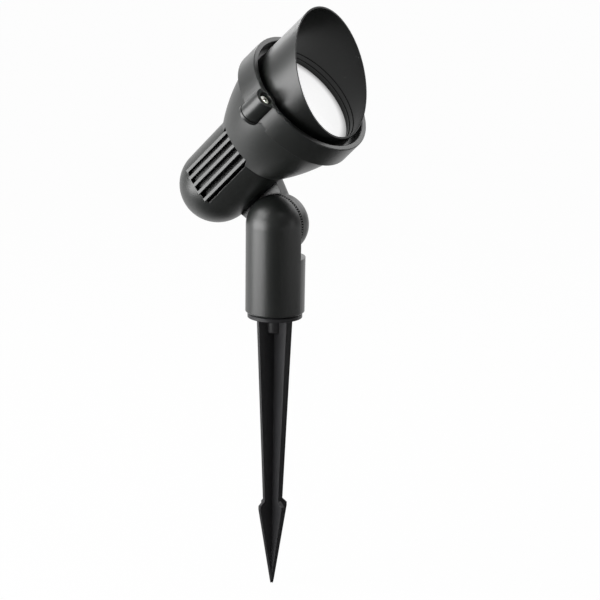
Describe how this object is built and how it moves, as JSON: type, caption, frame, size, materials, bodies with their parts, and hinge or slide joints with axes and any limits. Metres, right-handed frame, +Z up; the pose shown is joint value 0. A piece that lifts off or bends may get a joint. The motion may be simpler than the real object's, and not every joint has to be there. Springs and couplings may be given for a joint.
{
  "type": "garden spike spotlight",
  "caption": "Outdoor spotlight with a hooded round head that tilts on a toothed knuckle, a short stem and a barbed ground spike.",
  "frame": {"origin": "on the spike's axis, at the underside of the flange that rests on the soil", "axes": "+Z up along the stem, +X the way the head aims at rest, +Y along the knuckle's axis, towards the clamp bolt's head"},
  "size_m": [0.1249, 0.1056, 0.3825],
  "materials": {
    "cast_black": "satin black powder coat on cast aluminium",
    "spike_plastic": "moulded black plastic",
    "steel": "bright stainless steel",
    "zinc_steel": "zinc plated",
    "brass": "turned brass",
    "rubber": "black rubber",
    "frosted_glass": "frosted glass",
    "lamp_glass": "clear pressed glass",
    "lamp_shell": "silvered pressed glass and ceramic base",
    "ceramic": "unglazed lampholder ceramic",
    "terminal": "white nylon",
    "wire_sheath": "silicone wire sleeve"
  },
  "bodies": {
    "stem": {"spike": "spike_plastic", "spike_stud": "zinc_steel", "stem": "cast_black", "base_plug": "spike_plastic", "stud_washer": "zinc_steel", "stud_nut": "zinc_steel", "cable_grommet": "rubber", "terminal_block": "terminal", "terminal_screws": "brass", "stem_lead": "wire_sheath", "knuckle_insert": "brass", "knuckle_seal": "rubber", "bolt_washer": "steel", "clamp_bolt": "steel"},
    "head": {"housing": "cast_black", "bezel": "cast_black", "bezel_screws": "steel", "lens_gasket": "rubber", "lens": "frosted_glass", "hood": "cast_black", "lamp_body": "lamp_shell", "lamp_glass": "lamp_glass", "lamp_pins": "brass", "lampholder": "ceramic", "holder_plate": "zinc_steel", "plate_screws": "zinc_steel", "holder_screws": "zinc_steel", "head_lead": "wire_sheath"}
  },
  "joints": [
    {"name": "head_tilt", "type": "hinge", "parent": "stem", "child": "head", "pos_m": [0, 0, 0.0605], "axis": [0, 1, 0], "range_deg": [-45, 90]}
  ]
}
